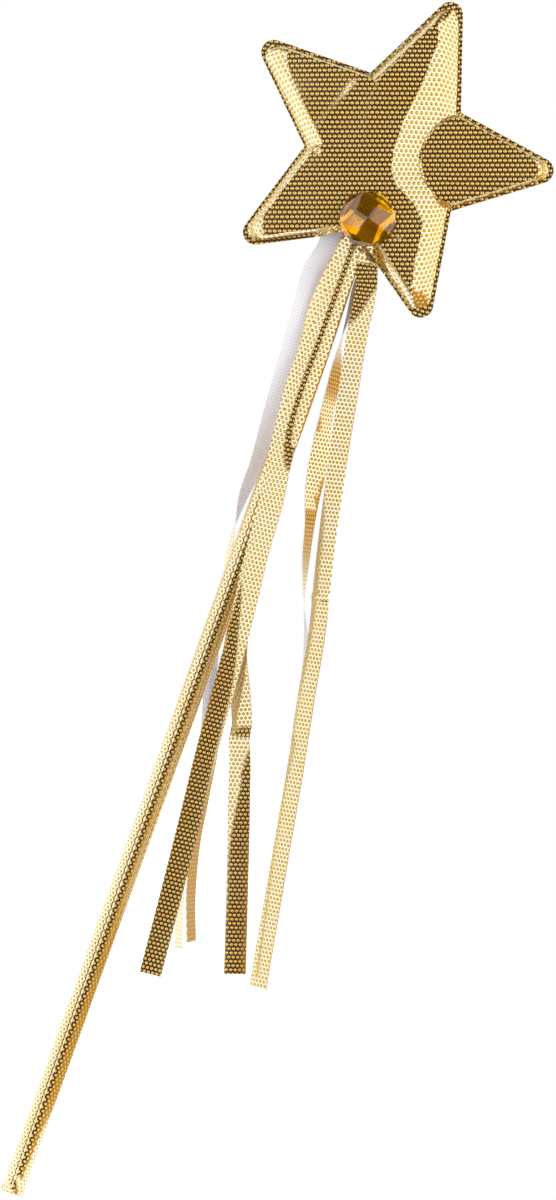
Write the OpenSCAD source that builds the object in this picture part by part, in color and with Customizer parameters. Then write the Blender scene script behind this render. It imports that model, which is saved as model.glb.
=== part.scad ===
// Toy magic wand: a padded foil-fabric star on a wrapped stick, with a glued
// gem and six loose ribbons that come out of the star's mouth.
// The stick stands along +Z with its butt at the origin, and the gem faces -Y.

/* [Stick] */
// Height of the star's mouth above the butt of the stick
mouth_z = 281.4; // [200:0.1:400]
// Outer diameter of the plastic tube
core_d = 5.4; // [4:0.1:8]
// Bore of the plastic tube
core_bore = 3.4; // [2:0.1:4]
// How far the tube runs into the star above the mouth
core_reach = 52; // [35:1:55]
// Thickness of the fabric wound round the tube
wrap_t = 0.35; // [0.2:0.05:0.6]
// How far the wrap's lower end is tucked into the tube
tuck_depth = 6; // [3:0.5:12]
// Width of the groove beside the wrap's glued lap
lap_w = 0.5; // [0.3:0.1:1]
// Depth of that groove
lap_d = 0.15; // [0.05:0.05:0.2]
// Place of the groove round the stick, in degrees from +X
lap_turn = -105; // [-180:5:180]

/* [Star] */
// Distance from the star's centre to the sharp corner of a tip
tip_r = 51.4; // [45:0.1:60]
// Distance from the star's centre to a notch
notch_r = 23.2; // [20:0.1:26]
// Rounding of the tips
tip_round = 3.5; // [2:0.1:5]
// Sideways place of the star's centre from the stick's axis
star_x = 0.5; // [-2:0.1:2]
// Turn of the star on the stick, clockwise from the front, in degrees
star_tilt = 4; // [0:0.5:8]
// Height of the padded arms above the seam
arm_h = 4.5; // [3:0.1:5.5]
// Height of the ridge that the stick raises
ridge_h = 6.5; // [6.2:0.1:8]
// Half width of the ridge's flat top
ridge_flat = 3.3; // [2.5:0.1:4.5]
// Width of the slope from the ridge down to the arms
ridge_run = 8.7; // [7:0.1:11]
// Width of the slope from the sealed rim up to the padded arms
bevel_w = 5.5; // [4:0.1:7]
// Width of the flat sealed rim
rim_w = 1.6; // [1:0.1:2.5]
// Thickness of the foil fabric of the covers
fabric_t = 0.5; // [0.3:0.05:0.8]

/* [Padding and glue] */
// How far the foam stays inside the sealed rim
pad_margin = 1.2; // [0.8:0.1:2]
// Gap between the foam and the covers
pad_gap = 0.3; // [0.1:0.05:0.5]
// Height of the foam's cut-out above the mouth
pocket_h = 7.5; // [6:0.5:10]
// Width of the cut-out
pocket_w = 22; // [18:0.5:24]
// Outer diameter of the glue round the tube
glue_d = 6.6; // [6:0.1:7]

/* [Gem] */
// Diameter of the gem
gem_d = 15.4; // [10:0.1:18]
// Height of the gem
gem_h = 4.6; // [3:0.1:7]
// Height of the gem's centre above the mouth
gem_rise = 3.9; // [2:0.1:6]
// Sideways place of the gem
gem_x = 1.2; // [-2:0.1:3]
// Turn of the gem's facets, in degrees
gem_turn = 26; // [0:1:45]
// Thickness of the mirror coating on the gem's back
foil_t = 0.2; // [0.1:0.05:0.4]
// Diameter of the glue under the gem
gem_glue_d = 6; // [3:0.1:6.4]
// Thickness of the glue under the gem
gem_glue_t = 0.5; // [0.3:0.05:1]

/* [Ribbons] */
// Width of a ribbon
ribbon_w = 6; // [4:0.1:6.4]
// Thickness of a ribbon
ribbon_t = 0.4; // [0.2:0.05:0.45]
// Gap between a ribbon's glued root and its swinging tail
bend_gap = 0.9; // [0.7:0.05:1.2]

/* [Hidden] */

$fn = 64;
overrun = 1;
// Clearance between the tube and what is wound or poured round it
fit_gap = 0.05;
// Clearance between the foam and the tube
channel_gap = 0.2;
// Distance from the mouth down to the wrap's top edge, and up to the glue
wrap_drop = 0.6;
glue_rise = 1.2;
glue_h = pocket_h - glue_rise - channel_gap;

gold = "#c9a24a";
pale_gold = "#e3c878";
white_back = "#dfdbe4";
clear_plastic = "#d9d4c6";
foam_grey = "#efe9dc";
amber = "#d98a10";

// Round sizes of the stick
core_r = core_d / 2;
bore_r = core_bore / 2;
wrap_inner_r = core_r + fit_gap;
wrap_outer_r = wrap_inner_r + wrap_t;
tuck_outer_r = bore_r - fit_gap;
tuck_inner_r = tuck_outer_r - wrap_t;
core_bottom = wrap_t + fit_gap;
core_top = mouth_z + core_reach;
wrap_top = mouth_z - wrap_drop;

// Layout of the star: five arms, measured clockwise from the upper tip
arms = 5;
half_arm = 180 / arms;
star_z = mouth_z + notch_r * cos(star_tilt);
notch_side = notch_r * sin(half_arm);
notch_up = notch_r * cos(half_arm);
tip_half = atan2(notch_side, tip_r - notch_up);
edge_dist = tip_r * sin(tip_half);
round_c = tip_r - tip_round / sin(tip_half);
round_span = atan2(tip_round * cos(tip_half), round_c + tip_round * sin(tip_half));

// Shares of half an arm, from its tip to its notch, at which the outline has points
round_share = round_span / half_arm;
half_shares = [0, 0.5 * round_share, round_share, 0.3, 0.6, 0.82];
turn_shares = concat(half_shares, [1], [for (i = [len(half_shares) - 1:-1:1]) 2 - half_shares[i]]);
angles = [for (a = [0:arms - 1]) for (s = turn_shares) (2 * a + s) * half_arm];
sides = len(angles);

// Shares of the bevel at which the covers have rings, then shares of the plateau
bevel_shares = [0, 0.18, 0.4, 0.7, 1];
plateau_shares = [0.7, 0.4];
plateau_share = ring_share(rim_w + bevel_w);
cover_rings = concat(
    [1],
    [for (s = bevel_shares) ring_share(rim_w + s * bevel_w)],
    [for (s = plateau_shares) s * plateau_share]
);
pad_rings = concat(
    [ring_share(rim_w + pad_margin)],
    [for (i = [2:len(bevel_shares) - 1]) ring_share(rim_w + bevel_shares[i] * bevel_w)],
    [for (s = plateau_shares) s * plateau_share]
);

// The ridge fades out past the top of the tube, and meets the rim only at the mouth
fade_run = bevel_w;
mouth_full = 0.55 * notch_r;
mouth_none = 0.2 * notch_r;

// Share of the star's radius that lies a given distance inside its outline
function ring_share(inset) = 1 - inset / edge_dist;

// Angle from the nearest tip
function from_tip(a) =
    let (t = a % (2 * half_arm))
    min(t, 2 * half_arm - t);

// Radius of the outline: straight edges with an arc at each tip
function outline_r(a) =
    let (t = from_tip(a), across = round_c * sin(t))
    t < round_span
        ? round_c * cos(t) + sqrt(tip_round * tip_round - across * across)
        : edge_dist / sin(tip_half + t);

function between(u) = max(0, min(1, u));
function swell(u) = 1 - pow(1 - between(u), 2);
function slope(u) = pow(cos(90 * between(u)), 2);

// Height of the padded arm, and of the ridge over the stick, above the seam
function arm_height(share) =
    fabric_t + (arm_h - fabric_t) * swell((edge_dist * (1 - share) - rim_w) / bevel_w);
function ridge_height(x, z, share) =
    ridge_h
    * slope((abs(x) - ridge_flat) / ridge_run)
    * slope((z - core_top) / fade_run)
    * max(
        slope((mouth_full - (star_z - z)) / (mouth_full - mouth_none)),
        between((1 - share) * edge_dist / bevel_w)
    );

// One point of the star: its outer height less a drop, on the front (-1) or back (1)
function star_point(a, share, drop, side) =
    let (
        r = share * outline_r(a),
        x = star_x + r * sin(a + star_tilt),
        z = star_z + r * cos(a + star_tilt),
        h = max(arm_height(share), ridge_height(x, z, share))
    )
    [x, side * (h - drop), z];
function flat_point(a, share) =
    let (r = share * outline_r(a))
    [star_x + r * sin(a + star_tilt), 0, star_z + r * cos(a + star_tilt)];

// Triangles of a dome: rings from the rim inwards, closed by a middle point
function dome_faces(first, rings, flip) =
    let (middle = first + rings * sides)
    [
        for (r = [0:rings - 1]) for (k = [0:sides - 1])
        let (
            next = (k + 1) % sides,
            a = first + r * sides + k,
            b = first + r * sides + next,
            c = r == rings - 1 ? middle : a + sides,
            d = r == rings - 1 ? middle : b + sides
        )
        each (
            c == d
                ? [flip ? [a, c, b] : [a, b, c]]
                : flip ? [[a, c, b], [b, c, d]] : [[a, b, c], [b, d, c]]
        )
    ];
function band_faces(upper, lower, flip) =
    [
        for (k = [0:sides - 1])
        let (next = (k + 1) % sides)
        each (
            flip
                ? [[upper + k, upper + next, lower + k], [upper + next, lower + next, lower + k]]
                : [[upper + k, lower + k, upper + next], [upper + next, lower + k, lower + next]]
        )
    ];

// Shell of fabric: the outer surface and the same surface one thickness lower
module star_cover(side) {
    rings = len(cover_rings);
    layer = rings * sides + 1;
    points = [
        for (drop = [0, fabric_t]) each concat(
            [for (s = cover_rings) for (a = angles) star_point(a, s, drop, side)],
            [star_point(0, 0, drop, side)]
        )
    ];
    flip = side > 0;
    faces = concat(
        dome_faces(0, rings, flip),
        dome_faces(layer, rings, !flip),
        band_faces(0, layer, flip)
    );
    polyhedron(points, faces);
}

// Foam between the seam and a cover, before the stick's channel is cut
module star_foam(side) {
    rings = len(pad_rings);
    drop = fabric_t + pad_gap;
    layer = rings * sides + 1;
    points = concat(
        [for (s = pad_rings) for (a = angles) star_point(a, s, drop, side)],
        [star_point(0, 0, drop, side)],
        [for (a = angles) flat_point(a, pad_rings[0])],
        [flat_point(0, 0)]
    );
    flip = side > 0;
    faces = concat(
        dome_faces(0, rings, flip),
        dome_faces(layer, 1, !flip),
        band_faces(0, layer, flip)
    );
    polyhedron(points, faces);
}

// Foam with the room that the tube, the glue and the ribbons' roots take
module star_pad(side) {
    difference() {
        star_foam(side);
        translate([0, 0, mouth_z])
            cylinder(r = core_r + channel_gap, h = core_reach + channel_gap);
        translate([star_x - pocket_w / 2, -ridge_h, mouth_z - notch_r])
            cube([pocket_w, 2 * ridge_h, notch_r + pocket_h]);
    }
}

module stick_core() {
    color(clear_plastic)
        translate([0, 0, core_bottom])
        difference() {
            cylinder(r = core_r, h = core_top - core_bottom);
            translate([0, 0, -overrun])
                cylinder(r = bore_r, h = core_top - core_bottom + 2 * overrun);
        }
}

// Sleeve of fabric whose lower end is turned into the tube
module stick_wrap() {
    profile = [
        [tuck_inner_r, 0],
        [wrap_outer_r, 0],
        [wrap_outer_r, wrap_top],
        [wrap_inner_r, wrap_top],
        [wrap_inner_r, wrap_t],
        [tuck_outer_r, wrap_t],
        [tuck_outer_r, tuck_depth],
        [tuck_inner_r, tuck_depth]
    ];
    color(gold)
        difference() {
            rotate_extrude() polygon(profile);
            rotate(lap_turn)
                translate([wrap_outer_r - lap_d, -lap_w / 2, -overrun])
                cube([lap_d + overrun, lap_w, wrap_top + 2 * overrun]);
        }
}

module stick_glue() {
    color(foam_grey)
        translate([0, 0, mouth_z + glue_rise])
        difference() {
            cylinder(d = glue_d, h = glue_h);
            translate([0, 0, -overrun])
                cylinder(r = core_r + fit_gap, h = glue_h + 2 * overrun);
        }
}

module star_front_cover() {
    color(gold) star_cover(-1);
}

module star_back_cover() {
    color(gold) star_cover(1);
}

module star_front_pad() {
    color(foam_grey) star_pad(-1);
}

module star_back_pad() {
    color(foam_grey) star_pad(1);
}

// Rose-cut gem: kites round a low point, then triangles, then the girdle
gem_sides = 8;
gem_r = gem_d / 2;
girdle_h = 0.2 * gem_h;
crown_slope = 0.65 * gem_h / gem_r;
star_facet_r = 0.49 * gem_r;
kite_r = 0.91 * gem_r;
gem_points = concat(
    [[0, 0, gem_h]],
    [
        for (i = [0:gem_sides - 1])
        let (a = (i + 0.5) * 360 / gem_sides)
        [
            star_facet_r * cos(a),
            star_facet_r * sin(a),
            gem_h - crown_slope * star_facet_r * cos(180 / gem_sides)
        ]
    ],
    [
        for (i = [0:gem_sides - 1])
        let (a = i * 360 / gem_sides)
        [kite_r * cos(a), kite_r * sin(a), gem_h - crown_slope * kite_r]
    ],
    [
        for (h = [0, girdle_h]) for (i = [0:2 * gem_sides - 1])
        let (a = i * 180 / gem_sides)
        [gem_r * cos(a), gem_r * sin(a), h]
    ]
);
gem_z = mouth_z + gem_rise;
gem_seat_y = -(ridge_h + gem_glue_t);

// Places a shape that stands on the gem's seat and faces the front
module on_seat(x, z) {
    translate([x, gem_seat_y, z])
        rotate([90, 0, 0])
        children();
}

// The facets are the hull of those points, so one fan that touches each is enough
module gem() {
    color(amber)
        on_seat(gem_x, gem_z)
        translate([0, 0, foil_t])
        rotate(gem_turn)
        hull()
        polyhedron(gem_points, [for (i = [1:len(gem_points) - 2]) [0, i, i + 1]]);
}

module gem_foil() {
    color(clear_plastic)
        on_seat(gem_x, gem_z)
        cylinder(r = gem_r * cos(90 / gem_sides), h = foil_t);
}

module gem_glue() {
    color(foam_grey)
        translate([0, -ridge_h, gem_z])
        rotate([90, 0, 0])
        cylinder(d = gem_glue_d, h = gem_glue_t);
}

// Ribbons, as points down their middle line: x, y, drop below the mouth, and the
// turn of the ribbon's width from +X towards +Y in degrees. A root ends above the
// first point of its tail, which is where the ribbon bends.
front_root = [[-0.4, -4.9, -6.5, 0], [-0.2, -4.9, 0, 0]];
front_tail = [
    [0, -4.9, 4.9, 0], [0, -4.9, 14, 0], [0.1, -5, 24, 0], [0.5, -5.1, 34, 0],
    [0.5, -5.2, 46, 0], [0.7, -5.3, 57, 0], [1.4, -5.4, 66, 0], [3.1, -5.5, 77, 0],
    [4.4, -5.6, 94, 0], [5.9, -5.7, 111, 0], [7.5, -5.8, 128, 0], [9.5, -6, 150, 0],
    [11.4, -6.2, 168, 0], [13.6, -6.4, 190, 0], [15.5, -6.5, 211, 0]
];
middle_root = [[-0.9, -4.2, -6.5, 0], [-1, -4.2, 0, 0]];
middle_tail = [
    [-1.2, -4.2, 5.2, 0], [-2.4, -4.2, 14, 0], [-3, -4.2, 24, 0], [-1.7, -4.2, 34, 0],
    [-1.6, -4.2, 46, 0], [-0.5, -4.2, 57, 0], [0.4, -4.2, 66, 0], [2, -4.3, 77, -3],
    [3.6, -4.4, 94, -8], [5.7, -4, 110, -20], [8, -3.7, 120, -32], [12, -3.6, 129, -37],
    [16.2, -4.1, 139, -33], [18.2, -4.6, 145, -33], [20.6, -5.2, 153, -37], [25, -5.9, 166, -37],
    [31, -6.8, 184, -37], [37.3, -7.6, 203, -37]
];
right_root = [[5, -2.4, -6.5, 50], [5, -2.7, 0.4, 50], [5.1, -2.9, 3.9, 50]];
right_tail = [
    [5.2, -4.2, 6.9, 52], [7, -4.6, 13, 40], [8.1, -4.8, 18, 34], [10.1, -5.1, 31, 30],
    [12.7, -5.3, 44, 30], [16, -5.5, 61, 38], [19.4, -5.7, 77, 50], [22.7, -5.9, 91, 53],
    [26.1, -6.1, 105, 53], [30.2, -6.4, 126, 49], [34.4, -6.7, 148, 47], [38.4, -7, 170, 47],
    [42.2, -7.2, 192, 47], [44.6, -7.4, 204.5, 47]
];
inner_root = [[4.5, 2.2, -6.5, -75], [4.5, 2, 0.4, -72]];
inner_tail = [
    [5.2, 1.2, 6.2, -60], [4.7, 1.6, 14, -70], [5.4, 1.8, 22, -80], [6.2, 2, 31, -100],
    [8, 2.2, 41, -120], [11.2, 2.4, 59, -140], [14.2, 2.5, 77, -132], [17.1, 2.5, 90, -110],
    [20.4, 2.4, 100, -95], [23.8, 2.2, 108, -85], [26.6, 2, 116, -75], [30.2, 1.8, 131, -62],
    [34.2, 1.5, 150, -52], [37.8, 1.2, 168, -47], [41, 1, 186, -47], [43.2, 0.8, 198, -47]
];
left_root = [[-6.8, 0.4, -5, 0], [-6.7, 0.5, 0.4, 6]];
left_tail = [
    [-6.5, 0.7, 5.6, 12], [-8.2, 0.9, 14, 22], [-7.4, 1.2, 24, 10], [-6.6, 1.6, 34, 10],
    [-5.8, 2.2, 46, 15], [-5, 3, 58, 25], [-4.7, 3.6, 68, 45], [-5.2, 4.4, 79, 65],
    [-4.2, 5, 91, 100], [-2.8, 6.4, 102, 95], [0.6, 7, 116, 75], [4, 6.6, 132, 60],
    [7.4, 6.6, 145, 65], [9.7, 6.7, 158, 90], [12.2, 6.8, 175, 105], [15.5, 6.9, 187, 110],
    [20.5, 7, 203, 110]
];
back_root = [[-0.1, 4.3, -6.5, 0], [0, 4.3, 0, 0]];
back_tail = [
    [0.1, 4.3, 5.2, 0], [0.6, 4.8, 20, 15], [1.6, 6, 42, 40], [2, 6.5, 62, 52],
    [2.1, 6.6, 80, 55], [2.6, 6.7, 96, 55], [4, 6.9, 110, 58], [6.2, 7, 124, 62],
    [8.4, 7.1, 136, 66], [10.8, 7.2, 147, 66], [13, 7.3, 161, 66], [14.9, 7.4, 174, 66],
    [18.4, 7.5, 187, 66], [23.2, 7.6, 200, 66]
];

// Four corners of a ribbon's cross-section at a point of its route
function strip_ring(p) =
    let (
        c = [p[0], p[1], mouth_z - p[2]],
        w = ribbon_w / 2 * [cos(p[3]), sin(p[3]), 0],
        n = ribbon_t / 2 * [-sin(p[3]), cos(p[3]), 0]
    )
    [c - w - n, c + w - n, c + w + n, c - w + n];

// A thin strip down a route. Both its faces are split along the same diagonals,
// so that it keeps its thickness where it twists.
module strip(route) {
    corners = 4;
    last = (len(route) - 1) * corners;
    points = [for (p = route) each strip_ring(p)];
    faces = concat(
        [[2, 1, 0], [3, 2, 0]],
        [
            for (r = [0:len(route) - 2]) for (k = [0:corners - 1])
            let (
                a = r * corners + k,
                b = r * corners + (k + 1) % corners
            )
            each (
                k == 2
                    ? [[a, b, a + corners], [b, b + corners, a + corners]]
                    : [[a, b, b + corners], [a, b + corners, a + corners]]
            )
        ],
        [[last, last + 1, last + 2], [last, last + 2, last + 3]]
    );
    polyhedron(points, faces);
}

// A root runs down to just above the bend
function root_route(root, tail) =
    concat(root, [tail[0] - [0, 0, bend_gap, 0]]);

module front_ribbon_root() {
    color(gold) strip(root_route(front_root, front_tail));
}
module middle_ribbon_root() {
    color(gold) strip(root_route(middle_root, middle_tail));
}
module right_ribbon_root() {
    color(gold) strip(root_route(right_root, right_tail));
}
module inner_ribbon_root() {
    color(white_back) strip(root_route(inner_root, inner_tail));
}
module left_ribbon_root() {
    color(white_back) strip(root_route(left_root, left_tail));
}
module back_ribbon_root() {
    color(gold) strip(root_route(back_root, back_tail));
}
module front_ribbon_tail() {
    color(pale_gold) strip(front_tail);
}
module middle_ribbon_tail() {
    color(pale_gold) strip(middle_tail);
}
module right_ribbon_tail() {
    color(pale_gold) strip(right_tail);
}
module inner_ribbon_tail() {
    color(gold) strip(inner_tail);
}
module left_ribbon_tail() {
    color(white_back) strip(left_tail);
}
module back_ribbon_tail() {
    color(pale_gold) strip(back_tail);
}

stick_core();
stick_wrap();
stick_glue();
star_front_cover();
star_back_cover();
star_front_pad();
star_back_pad();
gem();
gem_foil();
gem_glue();
front_ribbon_root();
middle_ribbon_root();
right_ribbon_root();
inner_ribbon_root();
left_ribbon_root();
back_ribbon_root();
front_ribbon_tail();
middle_ribbon_tail();
right_ribbon_tail();
inner_ribbon_tail();
left_ribbon_tail();
back_ribbon_tail();
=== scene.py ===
# %% [markdown]
# # A toy magic wand
# The part's solids come in as a fixed frame, and this lesson dresses them: a padded star of
# gold foil fabric, a stick wound in the same fabric, an amber gem and six loose ribbons.
# Every new piece is a surface worked out with numpy, in millimetres, in the frame's own axes:
# +Z runs up the stick, the gem faces -Y, and the butt of the stick is at the origin.

# %% Load the frame
import bpy
import numpy as np
from mathutils import Matrix


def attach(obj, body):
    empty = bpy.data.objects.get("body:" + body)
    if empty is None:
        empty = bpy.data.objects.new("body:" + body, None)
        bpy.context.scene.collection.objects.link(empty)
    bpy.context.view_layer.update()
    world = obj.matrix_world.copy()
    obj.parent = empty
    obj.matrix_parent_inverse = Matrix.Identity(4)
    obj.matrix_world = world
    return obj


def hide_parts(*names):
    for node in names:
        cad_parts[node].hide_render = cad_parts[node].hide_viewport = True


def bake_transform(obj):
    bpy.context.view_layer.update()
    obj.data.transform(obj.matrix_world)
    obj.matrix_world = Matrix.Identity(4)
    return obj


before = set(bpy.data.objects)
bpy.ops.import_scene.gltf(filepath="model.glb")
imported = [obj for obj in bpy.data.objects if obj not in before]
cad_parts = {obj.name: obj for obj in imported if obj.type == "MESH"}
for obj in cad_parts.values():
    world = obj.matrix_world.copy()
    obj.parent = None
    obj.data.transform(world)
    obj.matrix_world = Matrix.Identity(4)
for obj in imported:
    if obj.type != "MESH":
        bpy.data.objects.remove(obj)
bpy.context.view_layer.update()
scene = bpy.context.scene
MM = 0.001

# %% [markdown]
# ## The camera
# The picture was taken square to the star's face, with the stick leaning to the left. The wand
# stands upright here, so the camera rolls instead. A long lens keeps the sides of the stick
# parallel, as they are in the picture.

# %% Camera
LEAN = np.radians(19.86)
PICTURE_HEIGHT = 331.0
LOOK_AT = np.array([13.6, 0.0, 178.8])
LENS, SENSOR = 120.0, 36.0

across = np.array([np.cos(LEAN), 0.0, np.sin(LEAN)])
upward = np.array([-np.sin(LEAN), 0.0, np.cos(LEAN)])
towards_camera = np.array([0.0, -1.0, 0.0])
distance = LENS * PICTURE_HEIGHT / SENSOR
place = (LOOK_AT + distance * towards_camera) * MM

lens = bpy.data.cameras.new("picture_camera")
lens.sensor_fit = "VERTICAL"
lens.sensor_width = lens.sensor_height = SENSOR
lens.lens = LENS
camera = bpy.data.objects.new("picture_camera", lens)
axes = np.eye(4)
axes[:3, 0], axes[:3, 1], axes[:3, 2], axes[:3, 3] = across, upward, towards_camera, place
camera.matrix_world = Matrix(axes.tolist())
scene.collection.objects.link(camera)
scene.camera = camera
print("camera stands", round(distance), "mm in front of the wand")

# %% [markdown]
# ## From a grid of points to a mesh
# Most pieces here are a grid: one row after another of points, where a row may close into a
# ring and the last row may join the first. One helper lays the faces together with a map of the
# cloth in millimetres, so that a pattern keeps its real size, and another makes the object.

# %% Grid helper
def lay_grid(points, cloth, ring=False, loop=False):
    """Quads of a grid (rows, columns, 3). With ring the last column joins the first, with loop
    the last row does. cloth holds (u, v) in mm, with one column or row more for each of them.
    Returns the vertices, the quads and the (u, v) of each quad's corners."""
    rows, columns = points.shape[:2]
    r, c = np.meshgrid(np.arange(rows - 1 + loop), np.arange(columns - 1 + ring), indexing="ij")
    corners_r = np.stack([r, r, r + 1, r + 1], -1).reshape(-1, 4)
    corners_c = np.stack([c, c + 1, c + 1, c], -1).reshape(-1, 4)
    quads = corners_r % rows * columns + corners_c % columns
    return points.reshape(-1, 3), quads, cloth[corners_r, corners_c]


SHARP_CORNER = np.radians(50)


def make_piece(name, points, faces, cloth, finish_of_face, finishes, smooth=True):
    """A mesh object from vertices in mm, faces, cloth map of each corner and finishes.

    A smooth piece is sharp only at steep edges; any other piece is shaded facet by facet."""
    mesh = bpy.data.meshes.new(name)
    mesh.from_pydata((points * MM).tolist(), [], [list(f) for f in faces])
    layer = mesh.uv_layers.new(name="cloth")
    layer.data.foreach_set("uv", np.concatenate(cloth).astype(np.float32).ravel())
    for finish in finishes:
        mesh.materials.append(finish)
    mesh.polygons.foreach_set("material_index", np.asarray(finish_of_face, dtype=np.int32))
    mesh.update()
    mesh.set_sharp_from_angle(angle=SHARP_CORNER if smooth else 0.0)
    piece = bpy.data.objects.new(name, mesh)
    scene.collection.objects.link(piece)
    print(name, "has", len(mesh.vertices), "points and", len(faces), "faces")
    return piece


# %% [markdown]
# ## Nodes by name
# A material is a small graph. These helpers add a node with its values, do one step of
# arithmetic, and blend two colours or two numbers, so that the graphs below stay readable.

# %% Node helpers
def add_node(tree, kind, links=None, **values):
    """Adds a shader node, sets its properties, and fills inputs with values or links."""
    node = tree.nodes.new(kind)
    for key, value in values.items():
        setattr(node, key, value)
    for key, value in (links or {}).items():
        if isinstance(value, bpy.types.NodeSocket):
            tree.links.new(value, node.inputs[key])
        else:
            node.inputs[key].default_value = value
    return node


def calc(tree, operation, *terms):
    """One arithmetic step on numbers or sockets."""
    return add_node(tree, "ShaderNodeMath", dict(enumerate(terms)), operation=operation).outputs[0]


def mix_colour(tree, share, first, second):
    """Blend of two colours by a share from 0 to 1."""
    node = add_node(tree, "ShaderNodeMix", {"Factor": share}, data_type="RGBA")
    for socket, value in ((node.inputs[6], first), (node.inputs[7], second)):
        if isinstance(value, bpy.types.NodeSocket):
            tree.links.new(value, socket)
        else:
            socket.default_value = (*value, 1.0)
    return node.outputs[2]


def mix_number(tree, share, first, second):
    """Blend of two numbers by a share from 0 to 1."""
    node = add_node(tree, "ShaderNodeMix", {0: share, 2: first, 3: second}, data_type="FLOAT")
    return node.outputs[0]


def fade(tree, value, start, end, **ends):
    """Eased step of a value between two limits, from 0 to 1 unless the ends say otherwise."""
    links = {"Value": value, "From Min": start, "From Max": end, **ends}
    node = add_node(tree, "ShaderNodeMapRange", links, interpolation_type="SMOOTHSTEP")
    return node.outputs[0]


# %% [markdown]
# ## Foil fabric
# The foil cloth is pressed all over with small raised dots in staggered rows. Between the dots
# it is nearly a mirror, so it goes dark where it mirrors the dark room behind the camera and
# nearly white where it mirrors a lamp. The dots are satin and keep their gold, so they look
# bright on the dark parts and dark on the bright ones. Star, stick and ribbons share the
# effect, so it is one node group that puts out a mask and a height.

# %% Raised dots group
EDGE_REACH, BEAD_REACH = 1.17, 1.18
FALLING = {"To Min": 1.0, "To Max": 0.0}


def build_raised_dots():
    """Group: cloth position in mm -> mask, wider mask and height of dots in staggered rows."""
    tree = bpy.data.node_groups.new("raised dots", "ShaderNodeTree")
    face = tree.interface
    face.new_socket("Cloth", in_out="INPUT", socket_type="NodeSocketVector")
    for name, start in (("Pitch", 1.4), ("Row", 1.3), ("Radius", 0.4), ("Softness", 0.1)):
        face.new_socket(name, in_out="INPUT", socket_type="NodeSocketFloat").default_value = start
    for name in ("Dots", "Edge", "Height"):
        face.new_socket(name, in_out="OUTPUT", socket_type="NodeSocketFloat")
    into = add_node(tree, "NodeGroupInput").outputs
    parts = add_node(tree, "ShaderNodeSeparateXYZ", {0: into["Cloth"]}).outputs
    row = calc(tree, "DIVIDE", parts[1], into["Row"])
    odd = calc(tree, "FLOORED_MODULO", calc(tree, "FLOOR", row), 2.0)
    shift = calc(tree, "MULTIPLY", odd, 0.5)
    column = calc(tree, "ADD", calc(tree, "DIVIDE", parts[0], into["Pitch"]), shift)

    def from_middle(steps, size):
        """Distance in mm from the middle of the step that a point lies in."""
        return calc(tree, "MULTIPLY", calc(tree, "SUBTRACT", calc(tree, "FRACT", steps), 0.5), size)

    aside, above = from_middle(column, into["Pitch"]), from_middle(row, into["Row"])
    squares = [calc(tree, "POWER", part, 2.0) for part in (aside, above)]
    away = calc(tree, "SQRT", calc(tree, "ADD", *squares))
    out = add_node(tree, "NodeGroupOutput").inputs
    for name, reach in (("Dots", 1.0), ("Edge", EDGE_REACH)):
        radius = calc(tree, "MULTIPLY", into["Radius"], reach)
        start, end = (calc(tree, step, radius, into["Softness"]) for step in ("SUBTRACT", "ADD"))
        tree.links.new(fade(tree, away, start, end, **FALLING), out[name])
    bead = calc(tree, "MULTIPLY", into["Radius"], BEAD_REACH)
    tree.links.new(fade(tree, away, 0.0, bead, **FALLING), out["Height"])
    return tree


raised_dots = build_raised_dots()
print("raised dots group has", len(raised_dots.nodes), "nodes")

# %% [markdown]
# ## Uneven tone
# No cloth has one flat colour. A second group makes a slow, soft variation over the object,
# which each finish uses a little of.

# %% Uneven tone group
def build_uneven_tone():
    """Group: size of the patches in mm -> a value from 0 to 1 that drifts over the object."""
    tree = bpy.data.node_groups.new("uneven tone", "ShaderNodeTree")
    face = tree.interface
    face.new_socket("Patch", in_out="INPUT", socket_type="NodeSocketFloat").default_value = 8.0
    face.new_socket("Tone", in_out="OUTPUT", socket_type="NodeSocketFloat")
    into = add_node(tree, "NodeGroupInput").outputs
    where = add_node(tree, "ShaderNodeTexCoord").outputs["Object"]
    scale = calc(tree, "DIVIDE", 1.0 / MM, into["Patch"])
    noise = add_node(tree, "ShaderNodeTexNoise", {"Vector": where, "Scale": scale, "Detail": 3.0})
    spread = add_node(tree, "ShaderNodeMapRange",
                      {"Value": noise.outputs[0], "From Min": 0.3, "From Max": 0.7})
    out = add_node(tree, "NodeGroupOutput")
    tree.links.new(spread.outputs[0], out.inputs["Tone"])
    return tree


uneven_tone = build_uneven_tone()


def new_finish(name):
    """An empty material with a Principled shader: returns material, tree and shader."""
    material = bpy.data.materials.new(name)
    material.use_nodes = True
    tree = material.node_tree
    return material, tree, tree.nodes["Principled BSDF"]


def tone_of(tree, patch):
    """Places the uneven tone group with its own patch size."""
    node = add_node(tree, "ShaderNodeGroup", node_tree=uneven_tone)
    node.inputs["Patch"].default_value = patch
    return node.outputs["Tone"]


def toned(tree, shader, patch, colour, other):
    """Base colour that drifts between two close tones, in patches of a size in mm."""
    mixed = mix_colour(tree, tone_of(tree, patch), colour, other)
    tree.links.new(mixed, shader.inputs["Base Color"])


def plain_finish(name, colour, other, rough, patch):
    """A simple finish of one drifting colour and one roughness."""
    material, tree, shader = new_finish(name)
    toned(tree, shader, patch, colour, other)
    shader.inputs["Roughness"].default_value = rough
    return material


print("uneven tone group has", len(uneven_tone.nodes), "nodes")
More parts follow.
